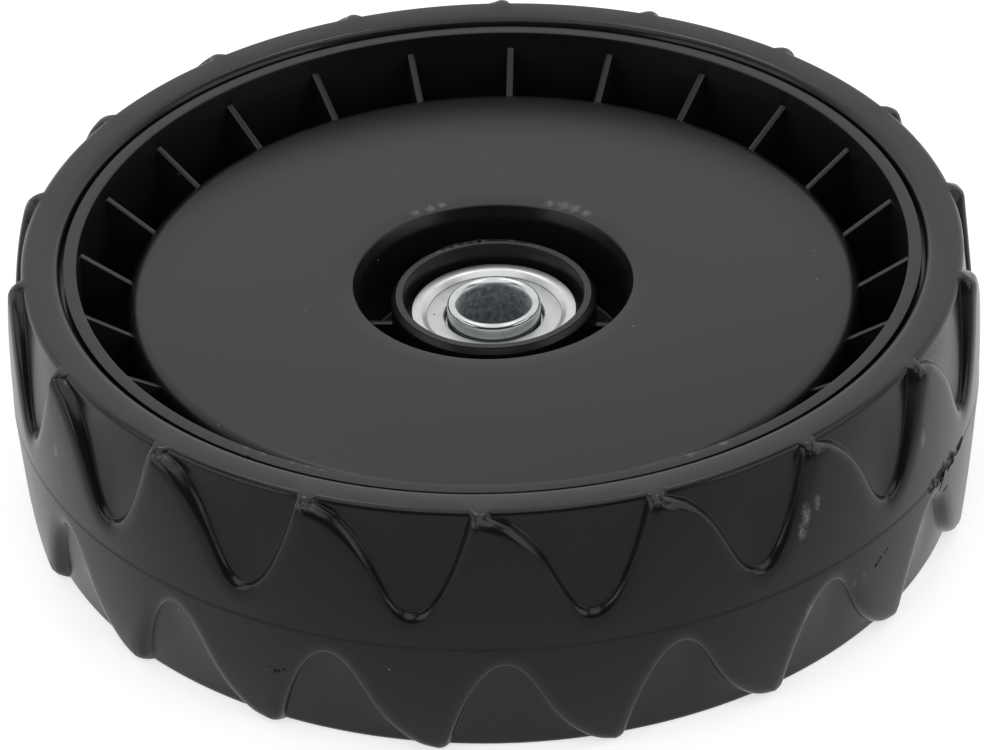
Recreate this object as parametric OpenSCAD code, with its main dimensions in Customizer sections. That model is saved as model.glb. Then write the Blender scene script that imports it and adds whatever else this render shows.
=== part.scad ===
// Wheel of a walk-behind garden machine: a moulded body with a ribbed rim, a semi-solid
// tyre with a zigzag tread, and a pressed ball bearing in each end of the hub.
// Millimetres. The axle runs along Z, the dished face looks to +Z, and the origin is on the
// axle midway between the tyre's two side faces.

/* [Tyre] */
// Outside diameter over the lugs
tyre_d = 203.2; // [196:0.2:210]
// Width between the two side faces
tyre_w = 57; // [54:0.5:62]
// Height of the tyre's section, from the rim's flanges to the lugs' tops
tyre_rise = 12.2; // [10:0.1:16]
// Depth of the recesses between the lugs
tread_depth = 1.8; // [1:0.1:2.6]
// Rounding between the recess floors and the side faces
shoulder_round = 2.1; // [1.2:0.1:3]
// How far each side face falls from its outer to its inner edge
side_dish = 0.5; // [0:0.1:1.2]
// Width of the open groove between each rim flange and the tyre's mouth
mouth_gap = 0.8; // [0.4:0.1:1.6]

/* [Tread] */
// Number of lugs round each half of the tread
lugs = 18; // [12:1:24]
// Distance from the middle plane to the tips of the front recesses
front_land = 5.1; // [3:0.1:9]
// Distance from the middle plane to the tips of the rear recesses
rear_land = 6.1; // [3:0.1:9]
// Width of a recess's steep side at the shoulder
steep_spread = 13.2; // [8:0.1:16]
// Width of a recess's shallow side before it flares
shallow_spread = 9.1; // [5:0.1:12]
// Width of a lug's top at the shoulder, between two recesses
lug_top_w = 3.4; // [1.6:0.1:8]
// Angle of the first front recess from +X
front_phase = 19.7; // [0:0.1:30]
// Angle of the first rear recess from +X
rear_phase = 10; // [0:0.1:30]
// Depth of the torn place on the tread
tear_depth = 0.9; // [0.3:0.1:1.4]

/* [Rim] */
// Depth of the rim's ends below the tyre's side faces
rim_inset = 1.6; // [1:0.1:4]
// Height of the flanges over the seat that the tyre sits on
flange_rise = 0.7; // [0.4:0.1:1.4]
// Width of each flange along the axle
flange_w = 3.4; // [2:0.1:5]
// Wall of the rim under the tyre
rim_wall = 2.1; // [1.6:0.1:3.5]
// Lead-in on the inner edge of each flange
rim_lead = 0.7; // [0.3:0.1:1]

/* [Disc] */
// Width of the pockets between the rim and the skirt under the disc's edge
pocket_w = 9.6; // [8:0.1:14]
// Depth of the disc's face below the tyre's side face
disc_sink = 11.6; // [8:0.1:14]
// Thickness of the disc
disc_t = 3; // [2:0.1:4]
// Rounding of the disc's outer edge
disc_round = 2; // [1:0.1:3]
// Wall of the skirt
skirt_wall = 2.5; // [1.8:0.1:4]
// Thickness of the floor of the pockets between skirt and rim
pocket_floor_t = 3; // [2:0.1:5]

/* [Ribs] */
// Number of ribs between skirt and rim
rim_ribs = 24; // [12:1:36]
// Thickness of the rim's ribs
rim_rib_t = 1.5; // [1.2:0.1:3]
// Depth of the ribs' outer ends below the tyre's side face
rim_rib_sink = 5.3; // [3:0.1:8]
// Depth of the ribs' inner ends below the disc's face
rim_rib_drop = 1.2; // [0.8:0.1:4]
// Angle of the first rim rib from +X
rim_rib_phase = 11.2; // [0:0.1:30]
// Number of ribs in the well round the hub
well_ribs = 4; // [2:1:8]
// Thickness of the ribs in the well
well_rib_t = 1.6; // [1.2:0.1:3]
// Depth of the well ribs' top edges below the disc
well_rib_sink = 10.7; // [8:0.1:14]
// Number of ribs behind the disc
back_ribs = 4; // [3:1:12]
// Thickness of the ribs behind the disc
back_rib_t = 2.5; // [1.5:0.1:4]
// Height of the ribs behind the disc
back_rib_h = 28; // [15:0.5:30]

/* [Hub] */
// Width of the well's floor, between the hub tube and the well's wall
well_floor_w = 7.1; // [6:0.1:14]
// Radius of the lip that rolls from the disc into the well
well_lip = 7; // [4:0.1:8]
// Depth of the well's floor below the disc
well_depth = 18.9; // [15:0.1:22]
// Wall of the hub tube round the bearings' seats
hub_wall = 4; // [3.5:0.1:6]
// Depth of the hub's front end below the disc
hub_sink = 4; // [2:0.1:6]
// Depth of the hub's rear end below the tyre's rear face
hub_rear_sink = 3; // [2.5:0.1:6]
// Step round the outside of the hub's front lip
hub_step = 0.6; // [0.3:0.1:1]
// Height of that step
hub_step_h = 1.8; // [1:0.1:2.5]
// Step from the bearings' seats out to the hub's open mouths
mouth_step = 1.7; // [0.8:0.1:2.4]
// Depth of the bearings' faces below the hub's ends
bearing_sink = 3.4; // [2.2:0.1:5]
// Depth of each open mouth
mouth_depth = 6; // [4:0.1:7]
// Height of the shoulders that the bearings' backs rest on
seat_shoulder = 2.4; // [1.4:0.1:5]

/* [Bearings] */
// Outside diameter of a bearing
bearing_d = 34.8; // [33:0.1:38]
// Width of a bearing's outer race
bearing_w = 11; // [10:0.1:12]
// Axle bore of the inner race
axle_bore = 15; // [12:0.1:16]
// Wall of the inner race's sleeve
sleeve_wall = 2.4; // [2.1:0.1:2.7]
// Length of the sleeve that stands out of the bearing's front
sleeve_rise = 1.9; // [1:0.1:2.1]
// Length of the sleeve that stands out of the bearing's back
sleeve_tail = 1.5; // [0.5:0.1:3]
// Rounding of the sleeve's edges
sleeve_round = 0.9; // [0.3:0.1:1]
// Diameter of a ball
ball_d = 4.76; // [4:0.02:4.9]
// Number of balls in each bearing
balls = 8; // [6:1:9]
// Distance of the balls' circle outwards of the middle between bore and outside
pitch_shift = 0.35; // [0:0.05:0.6]
// Gap between the two races beside their grooves
race_gap = 3; // [2.6:0.1:3.4]
// Thickness of the shield behind the rolled edge
shield_t = 0.8; // [0.5:0.1:1]
// Depth of the shield's face below the rolled edge
shield_sink = 1.3; // [0.9:0.1:1.4]
// Width of the shield, from its hole to its outer edge
shield_w = 3.45; // [2.8:0.05:4]
// Depth that the shield reaches under the outer race's rolled edge
shield_tuck = 0.35; // [0.2:0.05:0.6]
// Thickness of the cage's ring behind the balls
cage_web = 0.77; // [0.5:0.01:1.2]
// Height of the cage's fingers past the middle of the balls
cage_grip = 1; // [0.7:0.1:1.4]
// Gap between the sleeve and the outer race's back
back_gap = 0.9; // [0.6:0.1:1.6]
// Thickness of the outer race's back
back_t = 1.1; // [0.8:0.1:1.3]

/* [Clearances] */
// Radial gap between the tyre and its seat on the rim
tyre_gap = 0.1; // [0.02:0.02:0.3]
// Radial gap between a bearing and its seat in the hub
seat_gap = 0.02; // [0.01:0.01:0.05]
// Gap between a ball and the grooves that it runs in
ball_gap = 0.05; // [0.03:0.01:0.08]
// Gap between a ball and its pocket in the cage
pocket_gap = 0.15; // [0.1:0.01:0.2]
// Gap between the cage and the lands of the two races
cage_gap = 0.35; // [0.3:0.01:0.45]
// Gap between the shield and the sleeve that turns in it
shield_gap = 0.7; // [0.4:0.05:0.9]
// Gap along the axle between the shield and the inner race's body
shield_end_gap = 0.52; // [0.4:0.01:0.8]
// Gap between the shield and its slot in the outer race
slot_gap = 0.02; // [0.01:0.01:0.05]

/* [Hidden] */
$fn = 96;
// Length by which a cut runs past a piece, and by which joined shapes reach into each other
cut = 1;

lug_r = tyre_d / 2;
floor_r = lug_r - tread_depth;
side_r = floor_r - shoulder_round;
half_w = tyre_w / 2;
lug_pitch = 2 * PI * lug_r / lugs;

rim_r = lug_r - tyre_rise;
half_rim = half_w - rim_inset;
seat_r = rim_r - flange_rise;
rim_in_r = seat_r - rim_wall;
mouth_r = rim_r + mouth_gap;

disc_r = rim_in_r - pocket_w;
disc_z = half_w - disc_sink;
skirt_in_r = disc_r - skirt_wall;

bearing_r = bearing_d / 2;
hub_r = bearing_r + hub_wall;
hub_front_z = disc_z - hub_sink;
hub_rear_z = hub_rear_sink - half_w;
well_r = hub_r + well_floor_w;
well_floor_z = disc_z - well_depth;
well_out_r = well_r + disc_t;

front_face_z = hub_front_z - bearing_sink;
rear_face_z = hub_rear_z + bearing_sink;
bore_r = axle_bore / 2;
sleeve_r = bore_r + sleeve_wall;
ball_r = ball_d / 2;
ball_z = -bearing_w / 2;
pitch_r = (bore_r + bearing_r) / 2 + pitch_shift;
inner_land_r = pitch_r - race_gap / 2;
outer_land_r = pitch_r + race_gap / 2;
groove_r = ball_r + ball_gap;
shield_in_r = sleeve_r + shield_gap;
shield_r = shield_in_r + shield_w;
roll_r = (bearing_r - shield_r + shield_tuck) / 2;

// Straight pieces in each leg of a recess's outline
leg_steps = 8;
// How late the shallow leg flares out on its way to the shoulder
flare_power = 7.4;
// Height over the side face that the legs' curves aim at
leg_aim = 1;
// Depth below the side face at which the legs end, on the rounded shoulder
leg_end = 0.4;

// Torn place at the mould's parting line: angle from +X, and outline round that point
tear_angle = -26.4;
tear_outline = [
    [10.3, -4], [8.9, -2.4], [5.5, -1.2], [3.5, -1.9], [1.2, -1], [-0.9, -0.3],
    [-3.2, -1.2], [-6.4, -0.9], [-10.6, 0.4], [-8.5, -2], [-5.7, -3.7], [-3.2, -4.9],
    [0.9, -5.2], [0.9, -3.2], [5.3, -5], [5.5, -3.5], [10.3, -4.8]
];

// Rectangle from the axis to radius r, centred on the middle plane, with round outer corners
module barrel_section(r, w, round) {
    translate([0, -w / 2]) square([r - round, w]);
    translate([0, round - w / 2]) square([r, w - 2 * round]);
    for (side = [-1, 1]) {
        translate([r - round, side * (w / 2 - round)]) circle(round);
    }
}

// Ring section between two radii and two heights
module ring_section(r0, r1, z0, z1) {
    translate([r0, z0]) square([r1 - r0, z1 - z0]);
}

// Outline of one recess in the flat, opening upwards from its tip at the given height. The
// steep leg is a parabola, and the shallow one a parabola that flares out to the next lug.
// Each leg's last piece is shorter, as it runs over the rounded shoulder.
module recess_outline(tip) {
    flare = lug_pitch - lug_top_w - steep_spread - shallow_spread;
    top = half_w + cut;
    inner = [for (i = [leg_steps - 1:-1:0]) let (u = i / leg_steps)
        [steep_spread * u, tip + (half_w + leg_aim - tip) * u * u]];
    outer = [for (i = [1:leg_steps - 1]) let (u = i / leg_steps)
        [-shallow_spread * u - flare * pow(u, flare_power),
            tip + (half_w + leg_aim - tip) * u * u]];
    polygon(concat(
        [[steep_spread, top], [steep_spread, half_w - leg_end]], inner,
        outer, [[-shallow_spread - flare, half_w - leg_end], [-shallow_spread - flare, top]]
    ));
}

// Stands an outline up at radius 0, facing outwards along +X, and runs it past the lugs
module radial(length) {
    rotate([90, 0, 90]) linear_extrude(length) children();
}

module tread_recesses() {
    for (i = [0:lugs - 1]) {
        rotate([0, 0, front_phase + i * 360 / lugs])
            radial(lug_r + cut) recess_outline(front_land);
        rotate([180, 0, rear_phase + i * 360 / lugs])
            radial(lug_r + cut) recess_outline(rear_land);
    }
}

module tear() {
    difference() {
        rotate([0, 0, tear_angle]) radial(lug_r + cut) polygon(tear_outline);
        cylinder(h = tyre_w, r = lug_r - tear_depth, center = true);
    }
}

module tyre() {
    seat_end = half_rim - flange_w;
    color([0.14, 0.14, 0.145])
    difference() {
        rotate_extrude() difference() {
            barrel_section(lug_r, tyre_w, shoulder_round + tread_depth);
            ring_section(0, seat_r + tyre_gap, -seat_end, seat_end);
            ring_section(0, mouth_r, seat_end, half_w + cut);
            ring_section(0, mouth_r, -half_w - cut, -seat_end);
            for (side = [0, 1]) mirror([0, side]) {
                polygon([[mouth_r, half_w - side_dish], [side_r, half_w], [mouth_r, half_w]]);
            }
        }
        difference() {
            tread_recesses();
            rotate_extrude() barrel_section(floor_r, tyre_w, shoulder_round);
        }
        tear();
    }
}

// Rim: barrel, two end flanges with a lead-in, and the floor of the pockets
module rim_section() {
    difference() {
        union() {
            ring_section(rim_in_r, seat_r, -half_rim, half_rim);
            for (side = [0, 1]) mirror([0, side]) {
                ring_section(seat_r - rim_wall / 2, rim_r, half_rim - flange_w, half_rim);
            }
        }
        for (side = [0, 1]) mirror([0, side]) {
            polygon([
                [rim_in_r - cut, half_rim + cut], [rim_in_r - cut, half_rim - flange_w],
                [rim_in_r, half_rim - flange_w], [rim_in_r + rim_lead, half_rim],
                [rim_in_r + rim_lead, half_rim + cut]
            ]);
        }
    }
    ring_section(skirt_in_r, rim_in_r + rim_wall / 2, -pocket_floor_t / 2, pocket_floor_t / 2);
}

// Disc with a rounded edge, the skirt below it, and the rolled lip and wall of the well
module disc_section() {
    lip_r = well_r + well_lip;
    lip_z = disc_z - well_lip;
    ring_section(lip_r, disc_r - disc_round, disc_z - disc_t, disc_z);
    ring_section(skirt_in_r, disc_r, -disc_z, disc_z - disc_round);
    ring_section(skirt_in_r, disc_r - disc_round, disc_z - disc_t, disc_z);
    translate([disc_r - disc_round, disc_z - disc_round]) circle(disc_round);
    intersection() {
        translate([lip_r, lip_z]) difference() {
            circle(well_lip);
            circle(well_lip - disc_t);
        }
        ring_section(well_r, lip_r, lip_z, disc_z);
    }
    ring_section(well_r, well_out_r, well_floor_z - disc_t, lip_z);
    ring_section(hub_r - cut, well_out_r, well_floor_z - disc_t, well_floor_z);
}

// Hub tube with a mouth and a bearing seat in each end
module hub_section() {
    open_r = bearing_r + mouth_step;
    difference() {
        ring_section(bearing_r - seat_shoulder, hub_r, hub_rear_z, hub_front_z);
        ring_section(0, open_r, hub_front_z - mouth_depth, hub_front_z + cut);
        ring_section(0, open_r, hub_rear_z - cut, hub_rear_z + mouth_depth);
        ring_section(0, bearing_r + seat_gap, front_face_z - bearing_w, hub_front_z);
        ring_section(0, bearing_r + seat_gap, hub_rear_z, rear_face_z + bearing_w);
        ring_section(hub_r - hub_step, hub_r + cut, hub_front_z - hub_step_h, hub_front_z + cut);
    }
}

// Flat rib in a radial plane, drawn as an outline of radius and height
module rib(angle, thickness, outline) {
    rotate([90, 0, angle])
        translate([0, 0, -thickness / 2])
            linear_extrude(thickness) polygon(outline);
}

module ribs() {
    out_z = half_w - rim_rib_sink;
    in_z = disc_z - rim_rib_drop;
    in_r = disc_r - skirt_wall / 2;
    out_r = rim_in_r + rim_wall / 2;
    for (i = [0:rim_ribs - 1]) {
        rib(rim_rib_phase + i * 360 / rim_ribs, rim_rib_t,
            [[in_r, in_z], [out_r, out_z], [out_r, -out_z], [in_r, -in_z]]);
    }
    well_rib_z = disc_z - well_rib_sink;
    for (i = [0:well_ribs - 1]) {
        rib(i * 360 / well_ribs, well_rib_t, [
            [hub_r - cut, well_floor_z - cut], [well_r + cut, well_floor_z - cut],
            [well_r + cut, well_rib_z], [hub_r - cut, well_rib_z]
        ]);
    }
    back_top = disc_z - disc_t / 2;
    for (i = [0:back_ribs - 1]) {
        rib((i + 0.5) * 360 / back_ribs, back_rib_t, [
            [well_r + well_lip, back_top], [skirt_in_r + cut, back_top],
            [skirt_in_r + cut, back_top - back_rib_h], [hub_r - cut, back_top - back_rib_h],
            [hub_r - cut, well_floor_z - cut], [well_out_r - cut, well_floor_z - cut],
            [well_out_r - cut, disc_z - well_lip]
        ]);
    }
}

module wheel_body() {
    color([0.2, 0.2, 0.205])
    union() {
        rotate_extrude() {
            rim_section();
            disc_section();
            hub_section();
        }
        ribs();
    }
}

// Bearing pieces: each is drawn with the outer race's front face at height 0, looking up

module outer_race() {
    slot_r = shield_r + slot_gap;
    color([0.82, 0.83, 0.84])
    rotate_extrude() difference() {
        union() {
            ring_section(outer_land_r, bearing_r, -bearing_w, -roll_r);
            translate([bearing_r - roll_r, -roll_r]) circle(roll_r);
            ring_section(sleeve_r + back_gap, bearing_r, -bearing_w, back_t - bearing_w);
        }
        translate([pitch_r, ball_z]) circle(groove_r);
        ring_section(0, slot_r, -shield_sink - shield_t - slot_gap, slot_gap - shield_sink);
    }
}

module inner_race() {
    body_half = bearing_w / 2 - shield_sink - shield_t - shield_end_gap;
    top = sleeve_rise;
    bottom = -bearing_w - sleeve_tail;
    color([0.84, 0.85, 0.86])
    rotate_extrude() difference() {
        union() {
            ring_section(bore_r, sleeve_r, bottom + sleeve_round, top - sleeve_round);
            ring_section(bore_r + sleeve_round, sleeve_r - sleeve_round, bottom, top);
            for (z = [bottom + sleeve_round, top - sleeve_round]) {
                translate([bore_r + sleeve_round, z]) circle(sleeve_round);
                translate([sleeve_r - sleeve_round, z]) circle(sleeve_round);
            }
            ring_section(bore_r + sleeve_round, inner_land_r,
                ball_z - body_half, ball_z + body_half);
        }
        translate([pitch_r, ball_z]) circle(groove_r);
    }
}

module shield() {
    color([0.8, 0.81, 0.82])
    rotate_extrude()
        ring_section(shield_in_r, shield_r, -shield_sink - shield_t, -shield_sink);
}

// Crown cage: a ring behind the balls with fingers that reach past their middle
module cage() {
    pocket_r = ball_r + pocket_gap;
    color([0.7, 0.66, 0.55])
    difference() {
        rotate_extrude()
            ring_section(inner_land_r + cage_gap, outer_land_r - cage_gap,
                ball_z - pocket_r - cage_web, ball_z + cage_grip);
        for (i = [0:balls - 1]) {
            rotate([0, 0, i * 360 / balls])
                translate([pitch_r, 0, ball_z]) sphere(pocket_r);
        }
    }
}

module ball(i) {
    color([0.75, 0.76, 0.78])
    rotate([0, 0, (i - 1) * 360 / balls])
        translate([pitch_r, 0, ball_z]) sphere(ball_r);
}

// Places a bearing piece in the front or the rear end of the hub
module in_hub(end) {
    if (end == "front") {
        translate([0, 0, front_face_z]) children();
    } else {
        translate([0, 0, rear_face_z]) mirror([0, 0, 1]) children();
    }
}

tyre();
wheel_body();
for (end = ["front", "rear"]) {
    in_hub(end) outer_race();
    in_hub(end) inner_race();
    in_hub(end) shield();
    in_hub(end) cage();
    for (i = [1:balls]) {
        in_hub(end) ball(i);
    }
}
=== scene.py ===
"""Looks of a garden machine's wheel: a zigzag-tread tyre, a moulded body and its pressed bearings."""
import math

import bpy
import numpy as np
from mathutils import Matrix, Vector


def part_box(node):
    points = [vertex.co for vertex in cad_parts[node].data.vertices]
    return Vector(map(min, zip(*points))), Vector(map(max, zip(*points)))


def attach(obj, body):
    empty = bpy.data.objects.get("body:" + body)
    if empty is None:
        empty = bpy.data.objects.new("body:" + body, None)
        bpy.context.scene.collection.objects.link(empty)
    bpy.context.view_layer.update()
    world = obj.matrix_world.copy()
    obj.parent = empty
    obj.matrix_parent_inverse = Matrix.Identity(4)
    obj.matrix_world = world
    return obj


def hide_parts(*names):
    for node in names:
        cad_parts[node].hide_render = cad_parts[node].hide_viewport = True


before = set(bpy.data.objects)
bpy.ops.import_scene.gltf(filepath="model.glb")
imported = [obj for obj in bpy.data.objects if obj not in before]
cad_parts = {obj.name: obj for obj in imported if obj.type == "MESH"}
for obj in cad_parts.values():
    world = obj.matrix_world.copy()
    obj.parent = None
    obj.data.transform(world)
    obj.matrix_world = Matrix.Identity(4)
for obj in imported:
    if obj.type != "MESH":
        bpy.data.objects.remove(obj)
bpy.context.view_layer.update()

MM = 0.001
TAU = 2 * math.pi

# Sizes read from the frame
TYRE_LOW, TYRE_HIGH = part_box("tyre")
LUG_R = TYRE_HIGH.x
HALF_W = TYRE_HIGH.z
FRONT_RACE_LOW, FRONT_RACE_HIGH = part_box("front_outer_race")
FRONT_FACE_Z = FRONT_RACE_HIGH.z
REAR_FACE_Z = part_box("rear_outer_race")[0].z
BEARING_R = FRONT_RACE_HIGH.x
BEARING_W = FRONT_RACE_HIGH.z - FRONT_RACE_LOW.z

# Tyre
TREAD_DEPTH = 1.8 * MM
FLOOR_R = LUG_R - TREAD_DEPTH
FLOOR_TAPER = 1.2 * MM
FLOOR_ROUND = 1.2 * MM
LUG_ROUND = 2.8 * MM
SIDE_R = FLOOR_R - FLOOR_TAPER - FLOOR_ROUND
SIDE_DISH = 0.3 * MM
MOUTH_R = 90.2 * MM
MOUTH_ROUND = 2 * MM
TYRE_SEAT_R = 88.8 * MM
SEAT_END = 23.5 * MM

# Tread: recesses open to each shoulder, with a steep and a shallow leg
LUGS = 18
PITCH = TAU / LUGS
FRONT_LAND = 5.1 * MM
REAR_LAND = 6.1 * MM
FRONT_PHASE = math.radians(19.7)
REAR_PHASE = math.radians(10)
STEEP_SPREAD = 12.4 * MM
SHALLOW_SPREAD = 11.1 * MM
SHALLOW_FLARE = 8.8 * MM
FLARE_POWER = 8
OUTLINE_END = HALF_W + 4 * MM
STRAIGHT_END = HALF_W - LUG_ROUND
LUG_ARC = LUG_ROUND * math.pi / 2
SHOULDER_WAY = LUG_ARC + LUG_R - LUG_ROUND - SIDE_R
PARTING_Z = -1.5 * MM
BARREL_RISE = 0.62 * MM
BARREL_Z = -4 * MM
BARREL_FALL = 1.2
BARREL_REAR_FALL = 1.7
PARTING_ROWS = ((-0.6, 0), (-0.05, 0), (0.05, 0.04), (0.6, 0.04))

# A recess's wall: a tight foot, an edge that rolls over widely, and a slightly crowned lug beside it
FOOT_ROUND = 0.35 * MM
EDGE_ROUND = 1.85 * MM
FLANK_TILT = math.radians(75)
CROWN_TILT = math.radians(15)
CROWN_RUN = 2 * MM
FOOT_PLACE = -0.62 * MM

# The tread's grid
COLUMN_ZONES = ((-14 * MM, -4 * MM, 14), (-4 * MM, 4 * MM, 13),
                (4 * MM, 10.6 * MM, 9), (10.6 * MM, None, 37))
COLUMNS = sum(zone[2] for zone in COLUMN_ZONES)
SCAN_STEPS = 240
MIDDLE_ROWS = 2
SHOULDER_ROWS = 11

# Damage on the tread: angle, height, half length, half width, depth, turn from the wheel's run
GOUGES = (
    (-22.7, -1.5 * MM, 2.7 * MM, 1.2 * MM, 0.8 * MM, 6),
    (-25.9, -1.3 * MM, 3.0 * MM, 1.9 * MM, 0.8 * MM, -12),
    (-28.7, -1.5 * MM, 2.9 * MM, 2.2 * MM, 0.9 * MM, 14),
    (-31.0, -1.4 * MM, 2.6 * MM, 1.6 * MM, 0.8 * MM, -8),
    (-28.6, -4.7 * MM, 1.9 * MM, 0.35 * MM, 0.5 * MM, 55),
    (-27.1, -7.0 * MM, 1.4 * MM, 0.3 * MM, 0.4 * MM, 8),
)

# Wheel body
RIM_R = 89.4 * MM
RIM_SEAT_R = 88.7 * MM
RIM_IN_R = 86.6 * MM
HALF_RIM = 26.9 * MM
FLANGE_Z = 23.5 * MM
POCKET_HALF = 1.5 * MM
DISC_R = 77 * MM
DISC_Z = 16.9 * MM
DISC_TOP_Z = 17.4 * MM
DISC_T = 3 * MM
SKIRT_IN_R = 74.5 * MM
DISC_ROUND = 3.2 * MM
WELL_R = 28.4 * MM
WELL_OUT_R = 31.5 * MM
WELL_MOUTH_R = 29.5 * MM
WELL_MOUTH_DEPTH = 2.7 * MM
WELL_EDGE = 0.65 * MM
WELL_DIP_R = 33 * MM
WELL_DIP = 0.2 * MM
UNDER_ROUND = 4 * MM
WELL_FLOOR_Z = -2 * MM
HUB_R = 21.6 * MM
HUB_FRONT_Z = 13.9 * MM
HUB_REAR_Z = -25.5 * MM
FRONT_SHELF_Z = 6.9 * MM
HUB_LIP_W = 1.5 * MM
HUB_LIP_FALL = 0.1 * MM
HUB_BEVEL_FALL = 1.2 * MM
MOUTH_HUB_R = 19.1 * MM
MOUTH_DEPTH = 6 * MM
MOUTH_LEAD = 0.25 * MM
SEAT_R = 17.42 * MM
HUB_BORE_R = 15 * MM

# Ribs
RIM_RIBS = 24
RIB_BEVEL = 0.14 * MM
RIM_RIB_T = 1.55 * MM
RIM_RIB_PHASE = math.radians(11.2)
RIM_RIB_OUT_Z = 23.2 * MM
RIM_RIB_IN_Z = 15.7 * MM
WELL_RIBS = 4
WELL_RIB_T = 1.6 * MM
WELL_RIB_Z = 6.2 * MM
WELL_RIB_PHASE = math.radians(-4.2)
BACK_RIBS = 4
BACK_RIB_T = 2.5 * MM
BACK_RIB_LOW_Z = -12.6 * MM

# Bearings, from the outer race's front face
ROLL_W = 3.2 * MM
ROLL_SLOPE_W = 1.3 * MM
ROLL_HIGH_Z = 0.3 * MM
ROLL_CREST_Z = 0.1 * MM
ROLL_LOW_Z = -0.75 * MM
RACE_IN_R = 14.3 * MM
GROOVE_R = 12.8 * MM
GROOVE_ROUND = 2.43 * MM
SHIELD_R = 14.75 * MM
SHIELD_Z = -0.95 * MM
SHIELD_LOW_Z = -2.12 * MM

# Flash on the hub's lip and on the rim
FLASH_R = 20.45 * MM
FLASH_START, FLASH_END = 68, 122
FLASH_RAGGED_FROM = 93
FLASH_STEPS = 130
FLASH_HEIGHT = 0.35 * MM
WHISKERS = (78, 98)
WHISKER_HEIGHT = 0.55 * MM
NIB_DEGREES = -123.3

# Pale marks: angle, radius, height and reach in mm on the body, where those on the rim's flange are painted
# glints and those on the well's lip painted highlights; angle, height and reach in mm of the scuffs on the
# tread
BODY_SCUFFS_AND_GLINTS = (
    # Painted glints along the rim flange's inner edge and top
    (-124.5, 86.6, 26.6, 1.6), (-121.9, 86.6, 26.6, 1.6), (-117.5, 86.6, 26.6, 1.4),
    (-115.2, 86.6, 26.6, 1.4), (-113.2, 86.6, 26.6, 1.2), (-65, 87, 26.9, 1.6), (-60, 87, 26.9, 1.6),
    # Scuffs on the hub's lip
    (124, 20.3, 13.9, 1.2), (118, 20.3, 13.9, 1.2), (112, 20.4, 13.9, 1.2), (106, 20.4, 13.9, 1.2),
    (100, 20.4, 13.9, 1.1), (95, 20.4, 13.9, 1), (78, 20.4, 13.9, 1),
    # Painted highlights on the well's lip
    (66, 31.8, 17.3, 1.9), (60.5, 32.1, 17.3, 2.3), (55.5, 32.1, 17.3, 2.3), (50, 32, 17.3, 1.8),
    (121, 31.4, 17.2, 1.7), (114.5, 31.4, 17.2, 1.9), (109.5, 31.6, 17.2, 1.6),
)
TREAD_SCUFFS = (
    (-52.7, 15.8, 1.2), (-54.3, 14, 1.7), (-54.9, 10.5, 1.6), (-53.6, -10.6, 1.9), (-52.6, -14.5, 1.3),
    (-45.2, -8.9, 1.1), (-46.6, -9.2, 1), (-33.6, 12.4, 1.6), (-151, 11.5, 1.4),
)
TREAD_PITS = (
    (-43.1, -8.4, 0.75), (-42.6, -8.0, 0.5), (-42.3, -7.4, 0.55), (-41.4, -7, 0.45), (-41, -6.5, 0.5),
    (-116.4, -13.2, 0.75), (-115.9, -12.9, 0.6), (-115.3, -12.2, 0.55), (-117, -12.4, 0.4),
)
TREAD_STRETCH = (1, 1, 0.4)

# Camera, from the perspective fit of the photograph
EYE_DISTANCE = 907.7 * MM
EYE_ELEVATION = math.radians(34.462)
EYE_ROLL = math.radians(-1.889)
EYE_RIGHT = -0.867 * MM
EYE_UP = -25.0 * MM
EYE_TARGET_Z = 23.2 * MM
EYE_LENS = 158.76
SENSOR = 36

# Studio: radiances, where 1 is white
ROOM_LIGHT = 0.7
ROOM_DARK = 0.03
SKY_LIGHT = 1.1
FLOOR_NEAR = 0.58
FLOOR_FRONT = 0.45
FLOOR_BACK = 0.92


# Objects and edit mode

def deselect():
    bpy.ops.object.select_all(action="DESELECT")


def pick(obj):
    deselect()
    obj.select_set(True)
    bpy.context.view_layer.objects.active = obj


def added(name):
    obj = bpy.context.object
    obj.name = name
    obj.data.name = name
    return obj


def apply_modifiers(obj):
    pick(obj)
    for modifier in list(obj.modifiers):
        bpy.ops.object.modifier_apply(modifier=modifier.name)


def combine(obj, other, operation):
    """Adds the other solid to the object or cuts it out, and removes it."""
    modifier = obj.modifiers.new("combine", "BOOLEAN")
    modifier.operation = operation
    modifier.solver = "EXACT"
    modifier.object = other
    apply_modifiers(obj)
    bpy.data.objects.remove(other)


def join(objs, name):
    pick(objs[0])
    for obj in objs:
        obj.select_set(True)
    bpy.ops.object.join()
    return added(name)


def settle(obj):
    """Puts the object's turn and place into its mesh."""
    pick(obj)
    bpy.ops.object.transform_apply(location=True, rotation=True, scale=True)


def smooth(obj, angle):
    pick(obj)
    bpy.ops.object.shade_smooth_by_angle(angle=math.radians(angle))


def rounded(corners, steps=5):
    """Outline through (r, z, fillet) corners, with each fillet drawn as an arc."""
    points = []
    for i, (r, z, fillet) in enumerate(corners):
        here = Vector((r, z))
        if fillet <= 0:
            points.append(here)
            continue
        before = (Vector(corners[i - 1][:2]) - here).normalized()
        after = (Vector(corners[(i + 1) % len(corners)][:2]) - here).normalized()
        half = before.angle(after) / 2
        centre = here + (before + after).normalized() * fillet / math.sin(half)
        start = here + before * fillet / math.tan(half) - centre
        end = here + after * fillet / math.tan(half) - centre
        sweep = start.angle_signed(end)
        for k in range(steps + 1):
            turn = Matrix.Rotation(-sweep * k / steps, 2)
            points.append(centre + turn @ start)
    return points


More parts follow.
